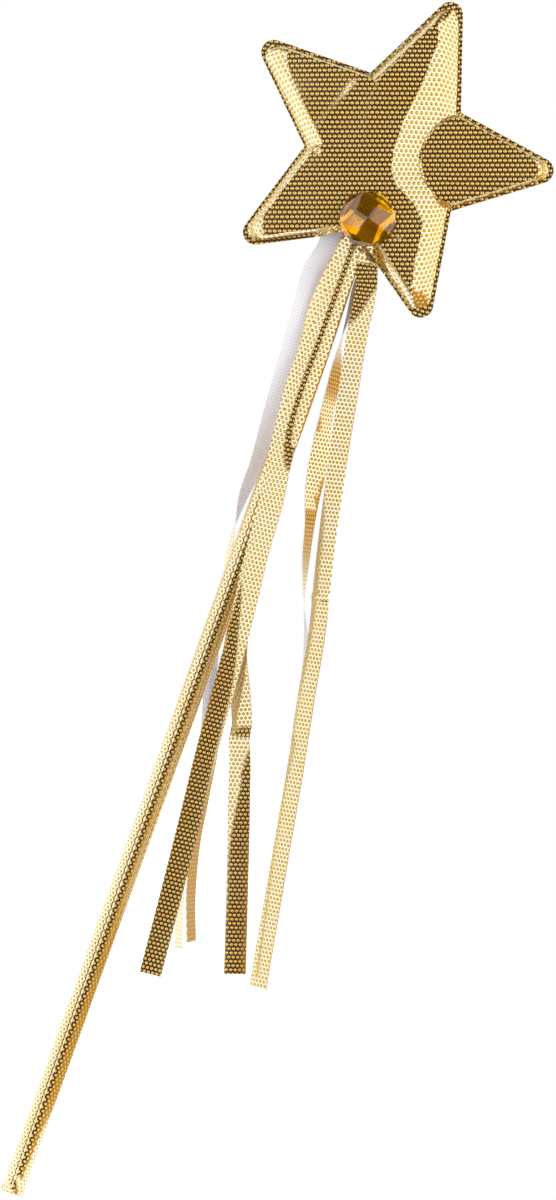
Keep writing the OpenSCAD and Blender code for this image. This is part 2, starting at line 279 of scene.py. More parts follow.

# %% [markdown]
# ## Three foils
# The star, the stick and the ribbons have the same foil with dots of slightly different size and
# spacing, so one function makes all three. Each dot has a dark edge of painted shade in the base
# colour, standing for the steep pressed foil that mirrors little light, and each bead gets its
# roundness from a bump.

# %% Foil finishes
GOLD_MIRROR, GOLD_MIRROR_DEEP = (1.0, 0.95, 0.74), (1.0, 0.91, 0.65)
GOLD_DOT, GOLD_DOT_DEEP = (1.0, 0.78, 0.26), (1.0, 0.70, 0.17)
# Painted shade: the dark ring round each dot, put into the base colour
PAINTED_BEAD_SHADE = (0.30, 0.12, 0.006)
MIRROR_ROUGH, DOT_ROUGH, DOT_METAL = 0.11, 0.30, 0.70
DOT_SOFT, DOT_TALL, FOIL_PATCH = 0.09, 0.25, 9.0


def foil_finish(name, pitch, row, radius):
    """Mirror-like gold with satin raised dots, spaced in mm on the cloth map."""
    material, tree, shader = new_finish(name)
    cloth = add_node(tree, "ShaderNodeUVMap", uv_map="cloth").outputs[0]
    dots = add_node(tree, "ShaderNodeGroup", node_tree=raised_dots)
    tree.links.new(cloth, dots.inputs["Cloth"])
    for key, value in (("Pitch", pitch), ("Row", row), ("Radius", radius), ("Softness", DOT_SOFT)):
        dots.inputs[key].default_value = value
    mask, edge, tone = dots.outputs["Dots"], dots.outputs["Edge"], tone_of(tree, FOIL_PATCH)
    mirror = mix_colour(tree, tone, GOLD_MIRROR, GOLD_MIRROR_DEEP)
    # The ring round each bead takes the painted shade colour, a shadow painted round the dot
    mirror = mix_colour(tree, edge, mirror, PAINTED_BEAD_SHADE)
    dot = mix_colour(tree, tone, GOLD_DOT, GOLD_DOT_DEEP)
    tree.links.new(mix_colour(tree, mask, mirror, dot), shader.inputs["Base Color"])
    tree.links.new(mix_number(tree, edge, 1.0, DOT_METAL), shader.inputs["Metallic"])
    tree.links.new(mix_number(tree, edge, MIRROR_ROUGH, DOT_ROUGH), shader.inputs["Roughness"])
    shader.inputs["Specular IOR Level"].default_value = 0.2
    bump = add_node(tree, "ShaderNodeBump", {"Height": dots.outputs["Height"], "Strength": 1.0,
                                             "Distance": DOT_TALL * MM})
    tree.links.new(bump.outputs[0], shader.inputs["Normal"])
    print(name, "has dots", 2 * radius, "mm wide,", pitch, "mm apart")
    return material


star_foil = foil_finish("star foil", 1.37, 1.3, 0.46)
stick_foil = foil_finish("stick foil", 1.2, 1.05, 0.37)
ribbon_foil = foil_finish("ribbon foil", 1.2, 1.15, 0.41)

# %% [markdown]
# ## White ribbon back
# The ribbon's other side has no foil: it is bare white cloth with a faint slanted weave. Two
# sets of fine lines, one on each slant of the cloth map, give the weave its height and tone.

# %% White back finish
WEAVE_STEP, WEAVE_TALL = 1.7, 0.1


def white_back_finish():
    """Lavender-white cloth with fine slanted lines from the cloth map."""
    material, tree, shader = new_finish("ribbon white back")
    cloth = add_node(tree, "ShaderNodeUVMap", uv_map="cloth").outputs[0]
    parts = add_node(tree, "ShaderNodeSeparateXYZ", {0: cloth}).outputs
    slants = [calc(tree, way, parts[0], parts[1]) for way in ("ADD", "SUBTRACT")]
    waves = [calc(tree, "SINE", calc(tree, "MULTIPLY", slant, 2 * np.pi / WEAVE_STEP))
             for slant in slants]
    weave = calc(tree, "ADD", calc(tree, "MULTIPLY", calc(tree, "MULTIPLY", *waves), 0.5), 0.5)
    ground = mix_colour(tree, tone_of(tree, 7.0), (0.92, 0.91, 0.95), (0.96, 0.95, 0.98))
    threads = mix_colour(tree, weave, ground, (0.78, 0.76, 0.83))
    tree.links.new(threads, shader.inputs["Base Color"])
    shader.inputs["Roughness"].default_value = 0.75
    bump = add_node(tree, "ShaderNodeBump", {"Height": weave, "Strength": 0.2,
                                             "Distance": WEAVE_TALL * MM})
    tree.links.new(bump.outputs[0], shader.inputs["Normal"])
    return material


white_back = white_back_finish()
print("the ribbons' two sides are", ribbon_foil.name, "and", white_back.name)

# %% [markdown]
# ## The ribbons
# Six ribbons, 6 mm wide, come out of the star's mouth and hang beside the stick. Each is a
# strip carried along a route. A row of a route is the place of the ribbon's middle line
# (x, y and the drop below the mouth) and the turn of its width about the stick's direction.
# A last number cups the strip: above zero its middle stands out towards its front face.

# %% Ribbon routes
MOUTH_Z = 281.4
RIBBON_WIDTH, RIBBON_THICK = 6.0, 0.3

ROUTES = {
    "front": [
        (-0.4, -4.9, -6.5, 0, 0), (-0.2, -4.9, 0, 0, 0), (0, -4.9, 4.9, 0, 0),
        (0, -4.9, 14, 0, 0), (0.1, -5, 24, 0, 0), (0.5, -5.1, 34, 0, 0),
        (0.5, -5.2, 46, 0, 0), (0.7, -5.3, 57, -6, 0),
        (1.4, -5.4, 66, -18, -0.1), (3.1, -5.5, 77, -24, -0.2), (4.4, -5.6, 94, -24, -0.3),
        (5.9, -5.7, 108, -14, -0.4), (7.5, -5.8, 126, 1, -0.4), (9.5, -6, 150, 3, -0.35),
        (11.4, -6.2, 168, 3, -0.3), (13.6, -6.4, 190, 3, -0.3), (15.5, -6.5, 211, 3, -0.3)],
    "middle": [
        (-0.9, -4.2, -6.5, 0, 0), (-1, -4.2, 0, 0, 0), (-1.2, -4.2, 5.2, 0, 0),
        (-2.4, -4.2, 14, 0, 0), (-3, -4.2, 24, 0, 0), (-1.7, -4.2, 34, 0, 0),
        (-1.6, -4.2, 46, 0, 0), (-0.5, -4.2, 57, -6, 0), (0.4, -4.2, 66, -14, 0),
        (2, -4.3, 77, -20, 0), (3.6, -4.3, 94, -22, 0), (5.7, -4, 110, -26, 0),
        (8, -3.7, 120, -26, 0), (12, -3.6, 129, -23, 0), (16.2, -4.1, 139, -21, 0.1),
        (18.2, -4.6, 145, -18, 0.2), (20.6, -5.2, 153, -11, 0.4), (25, -5.9, 166, 1, 0.4),
        (31, -6.8, 184, 4, 0.4), (37.3, -7.6, 203, 5, 0.4)],
    "right": [
        (5, -2.4, -6.5, 50, 0), (5, -2.7, 0.4, 50, 0), (5.1, -2.9, 3.9, 50, 0),
        (5.2, -4.2, 6.9, 8, 0),
        (7, -4.6, 13, 0, -0.15), (8.1, -4.8, 18, -5, -0.25), (9, -4.95, 25, -14, -0.15),
        (10.1, -5.1, 31, -20, 0), (12.7, -5.3, 44, -26, 0.1),
        (16, -5.5, 61, -33, 0.1), (19.4, -5.7, 77, -38, 0.1), (22.7, -5.9, 91, -40, 0.1),
        (26.1, -6.1, 105, -41, 0.1), (30.2, -6.4, 126, -41, 0.1), (34.4, -6.7, 148, -41, 0.1),
        (38.4, -7, 170, -41, 0.1), (42.2, -7.2, 192, -40, 0.1), (44.6, -7.4, 204.5, -40, 0.1)],
    "inner": [
        (4.5, 2.2, -6.5, -75, 0), (4.5, 2, 0.4, -72, 0), (5.2, 1.2, 6.2, -60, 0),
        (4.7, 1.6, 14, -70, 0), (5.3, 1.8, 22, -80, 0), (5.7, 2, 29, -92, 0),
        (7, 2.2, 37, -116, 0), (7.8, 2.2, 42, -122, 0), (9, 2.3, 51, -128, 0),
        (10.6, 2.4, 60, -145, 0), (11.6, 2.5, 66, -148, 0), (13, 2.5, 73.5, -132, 0),
        (14.2, 2.5, 78, -121, 0), (17.2, 2.5, 90, -110, 0), (20.4, 2.4, 100.5, -92, 0),
        (23.8, 2.2, 108, -80, 0), (26.6, 2, 116, -75, 0), (30.8, 1.8, 131, -68, 0.2),
        (35, 1.5, 150, -62, 0.2), (38.7, 1.2, 168, -60, 0.2), (41.9, 1, 186, -60, 0.2),
        (43.9, 0.8, 198, -60, 0.2)],
    "left": [
        (-6.8, 0.4, -5, 0, 0), (-6.7, 0.5, 0.4, 6, 0), (-6.5, 0.7, 5.6, 12, 0),
        (-8.2, 0.9, 14, 22, 0.1), (-7.4, 1.2, 24, 10, 0.2), (-6.6, 1.6, 34, 10, 0.2),
        (-5.8, 2.2, 46, 15, 0.1), (-5, 3, 58, 25, -0.2), (-4.7, 3.6, 68, 45, -0.4),
        (-5.2, 4.4, 79, 65, -0.4), (-4.2, 5, 91, 100, -0.2), (-2.8, 6.4, 102, 95, 0),
        (0.6, 7, 116, 75, 0), (4, 6.6, 132, 60, 0), (7.4, 6.6, 145, 65, 0), (9.7, 6.7, 158, 90, 0),
        (12.2, 6.8, 175, 105, 0), (15.5, 6.9, 187, 110, 0), (20.5, 7, 203, 110, 0)],
    "back": [
        (-0.1, 4.3, -6.5, 0, 0), (0, 4.3, 0, 0, 0), (0.1, 4.3, 5.2, 0, 0), (0.6, 4.8, 20, 15, 0),
        (1.6, 6, 42, 40, 0), (2, 6.5, 62, 52, 0), (2.1, 6.6, 80, 55, 0), (2.6, 6.7, 96, 55, 0),
        (4, 6.9, 110, 58, 0), (6.2, 7, 124, 62, 0), (8.4, 7.1, 136, 66, 0), (10.8, 7.2, 147, 66, 0),
        (13, 7.3, 161, 66, 0), (14.9, 7.4, 174, 66, 0), (18.4, 7.5, 187, 66, 0),
        (23.2, 7.6, 200, 66, 0)],
}
WHITE_FRONT = ("inner", "left")
print("rows in each route:", {name: len(rows) for name, rows in ROUTES.items()})

# %% [markdown]
# A route has few rows, so a smooth curve is laid through them: between two rows each number
# follows a cubic whose slope at a row is the mean slope to its neighbours.

# %% Smooth route
def smooth_route(rows, spacing=0.6):
    """Cubic curve through the rows, with the straight distance between them as its clock."""
    rows = np.array(rows, float)
    rows[:, 2] = MOUTH_Z - rows[:, 2]
    steps = np.linalg.norm(np.diff(rows[:, :3], axis=0), axis=1)
    clock = np.concatenate([[0], np.cumsum(steps)])
    slope = np.gradient(rows, clock, axis=0)
    t = np.linspace(0, clock[-1], int(clock[-1] / spacing) + 1)
    i = np.clip(np.searchsorted(clock, t, side="right") - 1, 0, len(rows) - 2)
    span = (clock[i + 1] - clock[i])[:, None]
    u = ((t - clock[i]) / span[:, 0])[:, None]
    return ((1 + 2 * u) * (1 - u) ** 2 * rows[i] + u * (1 - u) ** 2 * span * slope[i]
            + u ** 2 * (3 - 2 * u) * rows[i + 1] - u ** 2 * (1 - u) * span * slope[i + 1])


# %% [markdown]
# High up, the front and middle ribbons lie over the stick and take its roundness. That drape
# depends on the place beside the stick alone, so the two stay apart while both bend. A low crease
# runs straight across the front and right ribbons, and a short flap stands up on the middle one,
# where they were once folded.

# %% Ribbon strip
DRAPE_ROUND, DRAPE_SIDE, DRAPE_END, DRAPE_FADE = 5.6, 6.5, 84, 34
CREASES, CREASE_WIDE = {"front": [(61.8, 0.25)], "right": [(98, 0.45)]}, 0.95
FLAP_TOP, FLAP_EDGE, FLAP_END, FLAP_TALL = 138.0, 141.9, 152.0, 2.1
RIPPLE_TALL, RIPPLE_STEP, RIPPLE_TOP, RIPPLE_RUN = 0.10, 6.3, 20, 60
SIDE_STEPS = 12


def drape(x, drop):
    """How far cloth falls back beside the stick: a parabola, fading out lower down."""
    share = np.clip((DRAPE_END - drop) / DRAPE_FADE, 0, 1)
    fall = np.clip(x, -DRAPE_SIDE, DRAPE_SIDE) ** 2 / (2 * DRAPE_ROUND)
    return fall * share * share * (3 - 2 * share)


def crease_height(name, drop):
    """Narrow ridges across the strip, each a bell shape along its length, or one flap: a steep
    straight rise to an edge and a slow straight fall."""
    if name == "middle":
        rise = (drop - FLAP_TOP) / (FLAP_EDGE - FLAP_TOP)
        fall = (FLAP_END - drop) / (FLAP_END - FLAP_EDGE)
        return FLAP_TALL * np.clip(np.minimum(rise, fall), 0, 1)
    ridges = np.zeros_like(drop)
    for at, tall in CREASES.get(name, []):
        ridges += tall * np.exp(-((drop - at) / CREASE_WIDE) ** 2)
    return ridges


def strip_points(name, route):
    """Rings of a flat strip: front face from left to right, then the back face back again.

    Across the strip lies its width at the row's turn, made square to the route, and outward is
    square to both."""
    middle, turn, cup = route[:, :3], np.radians(route[:, 3]), route[:, 4]
    along = np.gradient(middle, axis=0)
    along /= np.linalg.norm(along, axis=1)[:, None]
    wide = np.stack([np.cos(turn), np.sin(turn), 0 * turn], -1)
    wide -= (wide * along).sum(1)[:, None] * along
    wide /= np.linalg.norm(wide, axis=1)[:, None]
    out = np.cross(along, wide)
    out *= np.sign((out * np.stack([np.sin(turn), -np.cos(turn), 0 * turn], -1)).sum(1))[:, None]
    share = np.linspace(-1, 1, SIDE_STEPS + 1)
    drop = MOUTH_Z - middle[:, 2]
    ripple = RIPPLE_TALL * np.sin(drop / RIPPLE_STEP + 1.3 * len(name))
    ripple = ripple * np.clip((drop - RIPPLE_TOP) / RIPPLE_RUN, 0, 1)
    lift = cup[:, None] * (1 - share ** 2) + (crease_height(name, drop) + ripple)[:, None]
    flat = (middle[:, None] + share[None, :, None] * RIBBON_WIDTH / 2 * wide[:, None]
            + lift[..., None] * out[:, None])
    if name in ("front", "middle"):
        flat[..., 1] += drape(flat[..., 0], MOUTH_Z - flat[..., 2])
    half = RIBBON_THICK / 2 * out[:, None]
    return np.concatenate([flat + half, (flat - half)[:, ::-1]], axis=1)


def ribbon_piece(piece_name, name, route):
    """A closed strip with its cloth map, gold on one face and white on the other."""
    rings = strip_points(name, route)
    columns = rings.shape[1]
    steps = np.linalg.norm(np.diff(route[:, :3], axis=0), axis=1)
    length = np.concatenate([[0], np.cumsum(steps)])
    side = np.linspace(0, RIBBON_WIDTH, SIDE_STEPS + 1)
    round_u = np.concatenate([side, side[::-1], side[:1]])
    cloth = np.stack(np.broadcast_arrays(round_u[None, :], length[:, None]), -1)
    points, quads, corners = lay_grid(rings, cloth, ring=True)
    k = np.arange(SIDE_STEPS)
    start = np.stack([k, columns - 1 - k, columns - 2 - k, k + 1], -1)
    end = (len(route) - 1) * columns + start[:, ::-1]
    faces = np.concatenate([quads, start, end])[:, ::-1]
    flat_cloth = cloth[:, :columns].reshape(-1, 2)
    corners = np.concatenate([corners, flat_cloth[start], flat_cloth[end]])[:, ::-1]
    column = np.arange(columns)
    on_back = ((column > SIDE_STEPS) & (column < columns - 1)).astype(int)
    finish = np.concatenate([np.tile(on_back, len(route) - 1), np.zeros(2 * SIDE_STEPS, int)])
    finishes = [white_back, ribbon_foil] if name in WHITE_FRONT else [ribbon_foil, white_back]
    piece = make_piece(piece_name, points, faces, corners, finish, finishes)
    return piece, length[-1]


# %% [markdown]
# Five ribbons are each one strip, laid in place of their root and tail. The front ribbon swings
# together with the one under it, so its glued end, which stays with the star, is a short piece of
# its own.

# %% Make the ribbons
BEND_ABOVE, BEND_BELOW, EXIT_DROP, FRONT_CUT = 1.5, 6.0, 5, 4.9


for name in ("middle", "right", "inner", "left", "back"):
    body = name + "_ribbon"
    route = smooth_route(ROUTES[name])
    strip, length = ribbon_piece(body, name, route)
    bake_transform(strip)
    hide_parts(body + "_root", body + "_tail")
    print(body, "is", round(length, 1), "mm long")

front_route = smooth_route(ROUTES["front"])
glued = front_route[:, 2] > MOUTH_Z - FRONT_CUT
front_root, _ = ribbon_piece("front_ribbon_end", "front", front_route[glued])
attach(front_root, "wand")
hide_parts("front_ribbon_root")
front_tail, length = ribbon_piece("front_ribbon", "front", front_route[~glued])
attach(front_tail, "front_ribbon")
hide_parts("front_ribbon_tail")
print("front ribbon is", round(length, 1), "mm long")

# %% [markdown]
# ## The star
# The star is two halves of foil fabric over foam, sealed together along a flat rim. Its outline
# is a five-armed star with rounded tips, so a half is a polar grid: the angle picks a point of
# the outline and the share says how far out it lies. The height at each point is the larger of
# three soft forms: the padded arm, the ridge over the stick and the cloth drawn off that ridge.

# %% Star outline
STAR_X, STAR_TILT = 0.5, np.radians(4)
TIP_R, NOTCH_R, TIP_ROUND = 51.4, 23.2, 3.5
STAR_Z = MOUTH_Z + NOTCH_R * np.cos(STAR_TILT)
HALF_ARM = np.pi / 5
TIP_HALF = np.arctan2(NOTCH_R * np.sin(HALF_ARM), TIP_R - NOTCH_R * np.cos(HALF_ARM))
EDGE = TIP_R * np.sin(TIP_HALF)
ROUND_C = TIP_R - TIP_ROUND / np.sin(TIP_HALF)
ROUND_SPAN = np.arctan2(TIP_ROUND * np.cos(TIP_HALF), ROUND_C + TIP_ROUND * np.sin(TIP_HALF))


def outline_radius(angle):
    """Distance to the outline: a straight edge, or near a tip the arc that rounds it."""
    t = np.abs((angle + HALF_ARM) % (2 * HALF_ARM) - HALF_ARM)
    arc = ROUND_C * np.cos(t) + np.sqrt(np.maximum(TIP_ROUND ** 2 - (ROUND_C * np.sin(t)) ** 2, 0))
    return np.where(t < ROUND_SPAN, arc, EDGE / np.sin(TIP_HALF + t))


print("star's tips lie", round(float(outline_radius(0.0)), 1), "mm from its middle")

# %% [markdown]
# The heights follow the picture: the right side of the ridge ends in a sharp shoulder, the cloth
# falls from there to the right arm, and a few short folds cross the star's front.

# %% Shoulder and folds
# Points (x, z) of the shoulder line, from the top down
SHOULDER = [(3.9, 360), (3.4, 344), (2.7, 325), (1.4, 314), (1.5, 307), (2.8, 300), (5.9, 296.5),
            (11.6, 293.8), (15.2, 290.4), (17.9, 287.8), (19.1, 281), (20.6, 272), (22.2, 262)]
# Each fold: its two ends, its height and its width
FOLDS = [
    ((22.0, 295.8), (14.5, 297.6), 0.15, 0.8), ((-21.5, 299.1), (-5.0, 297.6), 0.24, 1.1),
    ((15.4, 322.3), (11.0, 315.0), 0.1, 1.0), ((3.6, 281.0), (12.0, 284.0), 0.3, 1.3),
    ((-11.8, 324.2), (-22.0, 298.9), 0.18, 1.7), ((-9.0, 330.0), (-7.0, 306.0), 0.14, 1.7)]


def between(u):
    """A share, kept from 0 to 1."""
    return np.clip(u, 0, 1)


def smooth_step(u):
    """Rises from 0 to 1 with level ends."""
    return u * u * (3 - 2 * u)


def ease(u):
    """Falls from 1 to 0 along a squared cosine."""
    return np.cos(np.pi / 2 * between(u)) ** 2


def soft_larger(a, b, blend):
    """The larger of two heights, with the corner between them rounded off."""
    k = between(0.5 + 0.5 * (a - b) / blend)
    return a * k + b * (1 - k) + blend * k * (1 - k)


def along_line(x, z, start, end):
    """Share of the way along a straight line, from 0 at its start to 1 at its end."""
    dx, dz = end[0] - start[0], end[1] - start[1]
    return between(((x - start[0]) * dx + (z - start[1]) * dz) / (dx * dx + dz * dz))


def from_line(x, z, start, end):
    """Distance from a straight line between two points."""
    t = along_line(x, z, start, end)
    near_x, near_z = (start[i] + t * (end[i] - start[i]) for i in (0, 1))
    return np.hypot(x - near_x, z - near_z)


def fold_height(x, z):
    """Straight folds: a bell across each, and along it part of a sine that ends at zero."""
    total = np.zeros_like(x)
    for start, end, tall, wide in FOLDS:
        away, t = from_line(x, z, start, end), along_line(x, z, start, end)
        total += tall * np.exp(-(away / wide) ** 2) * np.sin(np.pi * between(0.15 + 0.85 * t))
    return total


def right_of_shoulder(x, z):
    """Signed distance from the shoulder line in mm, above zero on its right."""
    nearest, signed = np.full_like(x, 1e9), np.zeros_like(x)
    for (x0, z0), (x1, z1) in zip(SHOULDER[:-1], SHOULDER[1:]):
        away = from_line(x, z, (x0, z0), (x1, z1))
        side = np.sign((x1 - x0) * (z - z0) - (z1 - z0) * (x - x0))
        signed = np.where(away < nearest, away * side, signed)
        nearest = np.minimum(nearest, away)
    return signed


print("the shoulder has", len(SHOULDER), "points, and there are", len(FOLDS), "folds")

# %% [markdown]
# The padded arm rises from the sealed rim along a power curve, and the slope beside each of the
# star's ten edges has its own width. The ridge is level over the tube and slopes off on both
# sides. The drawn cloth is nearly level left of the shoulder and falls away on its right.

# %% Star height
ARM_H, RIDGE_H, RIDGE_FLAT, RIDGE_RUN, RIDGE_END = 4.5, 6.5, 3.3, 8.7, 14
FABRIC, RIM, BEVEL, PUFF_POWER, BACK_PUFF = 0.5, 0.9, 5.5, 1.8, 4.4
# Width of the slope beside each edge, clockwise from the upper tip, two edges an arm
PUFF_WIDTHS = np.array([5.0, 1.2, 0.7, 5.0, 1.8, 0.7, 1.4, 2.9, 1.2, 1.8])
TUBE_TOP, MOUTH_IN, MOUTH_RUN = MOUTH_Z + 52, 0.55 * NOTCH_R, 0.35 * NOTCH_R
CROWN_HALF, CROWN_SPARE, CROWN_DROP, CROWN_RUN, DRAWN_WIDER = 60.0, 0.3, 4, 26, 1.25
RIGHT_FALL, RIGHT_PAD, RIGHT_TIP, RIGHT_PAD_R = 0.33, (21.0, 309.7), (52.0, 314.0), 13.0
PAD_EDGE, ARM_FADE, RIDGE_SINK, SINK_RUN = 1.6, 1.5, 0.5, 1.2
CORNER_ROUND, LOFT_RUN, UNEVEN = 0.25, 4, 0.05


def puff_width(angle, front):
    """Width of the slope at an angle: each edge's own, eased across the tips and notches."""
    if not front:
        return np.full_like(angle, BACK_PUFF)
    place = (angle % (2 * np.pi)) / HALF_ARM - 0.5
    low = np.floor(place)
    step = smooth_step(between((place - low - 0.4) / 0.2))
    edge = low.astype(int)
    return (1 - step) * PUFF_WIDTHS[edge % 10] + step * PUFF_WIDTHS[(edge + 1) % 10]


def rise(inside, width):
    """Power curve from 0 at the sealed rim to 1 a slope's width further in."""
    return 1 - (1 - between((inside - RIM) / width)) ** PUFF_POWER


def star_height(x, z, share, angle, front):
    """Height of the padded half above the seam in mm: the larger of arm, drawn cloth and ridge."""
    inside, puff = (1 - share) * EDGE, puff_width(angle, front)
    arm = FABRIC + (ARM_H - FABRIC) * rise(inside, puff)
    top = ease((z - TUBE_TOP) / RIDGE_END)
    mouth = np.maximum(ease((MOUTH_IN - (STAR_Z - z)) / MOUTH_RUN), between(inside / BEVEL))
    ridge = RIDGE_H * ease((np.abs(x) - RIDGE_FLAT) / RIDGE_RUN) * top * mouth
    swell = ease((z - TUBE_TOP + CROWN_DROP) / CROWN_RUN) * ease(np.abs(x) / CROWN_HALF)
    crown = ARM_H + (RIDGE_H + CROWN_SPARE - ARM_H) * swell
    folds = 0
    if front:
        past = np.maximum(right_of_shoulder(x, z), 0)
        off_pad = from_line(x, z, RIGHT_PAD, RIGHT_TIP) - RIGHT_PAD_R
        in_pad = smooth_step(between(0.5 - off_pad / PAD_EDGE))
        arm = arm * np.maximum(1 - between(past / ARM_FADE), in_pad)
        crown = crown - RIGHT_FALL * past
        ridge = ridge - RIDGE_SINK * between(past / SINK_RUN)
        folds = fold_height(x, z)
    drawn = crown * rise(inside, DRAWN_WIDER * puff)
    tall = soft_larger(soft_larger(arm, drawn, CORNER_ROUND), ridge, CORNER_ROUND)
    waves = UNEVEN * np.sin(x / 3.1 + z / 5.2) + UNEVEN * np.sin(x / 4.3 - z / 3.3 + 1.0)
    return np.maximum(tall + between((inside - RIM) / LOFT_RUN) * (waves + folds), FABRIC)


# %% [markdown]
# Inside, the foam leaves room for the tube and, at the mouth, for the ribbons' glued ends. Each
# half is one closed skin: out over the fabric from the middle to the rim, and back under it.

# %% Star halves
CELLS_ROUND, CELLS_OUT, POLE_SHARE, RIM_CROWD = 480, 84, 0.012, 1.15
TUBE_ROOM, TUBE_SPARE, POCKET_TOP, POCKET_HALF = 2.95, 0.3, MOUTH_Z + 7.5, 10.0
POCKET_SKIN, CHANNEL_SKIN, SEAM_GAP, POCKET_EASE = 0.6, 0.45, 0.02, 2
MAP_SHIFT = 200.0


def cavity(x, z, tall):
    """Height of the hollow under the foam: a half-round channel, and a pocket at the mouth."""
    channel = np.sqrt(np.maximum(TUBE_ROOM ** 2 - x ** 2, 0)) * (z < TUBE_TOP + TUBE_SPARE)
    pocket = ((tall - POCKET_SKIN) * ease((z - POCKET_TOP + 1) / POCKET_EASE)
              * ease((np.abs(x - STAR_X) - POCKET_HALF) / POCKET_EASE))
    most = np.maximum(tall - CHANNEL_SKIN, SEAM_GAP)
    return np.clip(np.maximum(channel, pocket), SEAM_GAP, most)


def picture_map(x, z):
    """Cloth map in mm whose rows of dots run level in the picture."""
    level = x * across[0] + z * across[2]
    rising = x * upward[0] + z * upward[2]
    return np.stack([level, rising], -1) + MAP_SHIFT


def star_skin(front):
    """Rings of a polar grid, out over the fabric and back along the hollow, and their cloth map.

    The map follows the cloth: a point lies as far out on it as the path over the surface."""
    angle = np.linspace(0, 2 * np.pi, CELLS_ROUND, endpoint=False)
    share = 1 - (1 - np.linspace(POLE_SHARE, 1, CELLS_OUT)) ** RIM_CROWD
    a, s = np.meshgrid(angle, share)
    r = s * outline_radius(a)
    east, north = np.sin(a + STAR_TILT), np.cos(a + STAR_TILT)
    x, z = STAR_X + r * east, STAR_Z + r * north
    tall = star_height(x, z, s, a, front)
    side = -1 if front else 1
    outer, inner = (np.stack([x, side * y, z], -1) for y in (tall, cavity(x, z, tall)))
    steps = np.hypot(np.diff(r, axis=0), np.diff(tall, axis=0))
    path = r[0] + np.concatenate([0 * r[:1], np.cumsum(steps, axis=0)])
    cloth = picture_map(STAR_X + path * east, STAR_Z + path * north)
    rings, cloth = np.concatenate([outer, inner[::-1]]), np.concatenate([cloth, cloth[::-1]])
    return (rings, cloth) if front else (rings[:, ::-1], cloth[:, ::-1])


def star_half(name, front, foam):
    """One closed half: the grid of its skin, with a fan of triangles at each of its two poles."""
    rings, cloth = star_skin(front)
    cloth = np.concatenate([cloth, cloth[:, :1]], axis=1)
    points, quads, corners = lay_grid(rings, cloth, ring=True)
    n, last = CELLS_ROUND, (2 * CELLS_OUT - 1) * CELLS_ROUND
    k = np.arange(n)
    first_fan = np.stack([np.full(n, len(points)), (k + 1) % n, k], -1)
    last_fan = np.stack([np.full(n, len(points) + 1), last + k, last + (k + 1) % n], -1)
    points = np.concatenate([points, [rings[0].mean(0), rings[-1].mean(0)]])
    flat = picture_map(points[:, 0], points[:, 2])
    faces = [*quads.tolist(), *first_fan.tolist(), *last_fan.tolist()]
    corners = [part.reshape(-1, 2) for part in (corners, flat[first_fan], flat[last_fan])]
    under = np.arange(2 * CELLS_OUT - 1) >= CELLS_OUT
    in_foam = np.concatenate([np.repeat(under, n), np.zeros(n), np.ones(n)])
    piece = make_piece(name, points, faces, corners, in_foam, [star_foil, foam])
    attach(piece, "wand")
    return piece


foam_finish = plain_finish("star foam", (0.86, 0.82, 0.74), (0.92, 0.89, 0.83), 0.9, 2.0)
star_front = star_half("star_front", True, foam_finish)
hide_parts("star_front_cover", "star_front_pad")
star_back = star_half("star_back", False, foam_finish)
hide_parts("star_back_cover", "star_back_pad")

# %% [markdown]
# ## The stick
# The stick is a plastic tube with the same fabric wound round it. One glued lap runs down its
# length as a fine step, and the lower end is tucked into the tube, a little crumpled. That is a
# surface of revolution whose radius also depends on the angle: a profile carried round.

# %% Stick sleeve
STICK_R, SLEEVE_TOP, WALL_ROWS, CELLS_ABOUT = 3.1, 280.8, 280, 96
TUCK_R, TUCK_TOP, LIP_ROUND, LIP_TOP, INSIDE_R = 1.3, 6, 0.7, 0.9, 2.75
LAP_AT, LAP_TALL, LAP_FADE, SLEEVE_SHIFT = np.radians(-105), 0.07, 0.35, 100.0
GROOVE_AT, GROOVE_DEEP, GROOVE_WIDE = 0.03, 0.14, 0.05
CRUMPLE_TALL, CRUMPLE_SINK, CRUMPLE_RUN, SWAY = 0.36, 0.16, 6.0, 0.03


def sleeve_radius(r, z, angle):
    """Radius with the lap's step and groove, and a crumple that fades up from the butt."""
    turn = (angle - LAP_AT + np.pi) % (2 * np.pi) - np.pi
    groove = -GROOVE_DEEP * np.exp(-((turn - GROOVE_AT) / GROOVE_WIDE) ** 2)
    step = LAP_TALL * np.exp(-np.maximum(-turn, 0) / LAP_FADE) * (turn < 0)
    waves = (0.5 + 0.5 * np.sin(4 * angle + 1.2 * z)) ** 2
    crumple = (CRUMPLE_TALL * waves - CRUMPLE_SINK) * np.exp(-(z / CRUMPLE_RUN) ** 2)
    sway = SWAY * np.sin(3 * angle + z / 17.0)
    return r + (groove + step + sway) * (r > 2.5) + crumple * (r > 1.0) * r / STICK_R


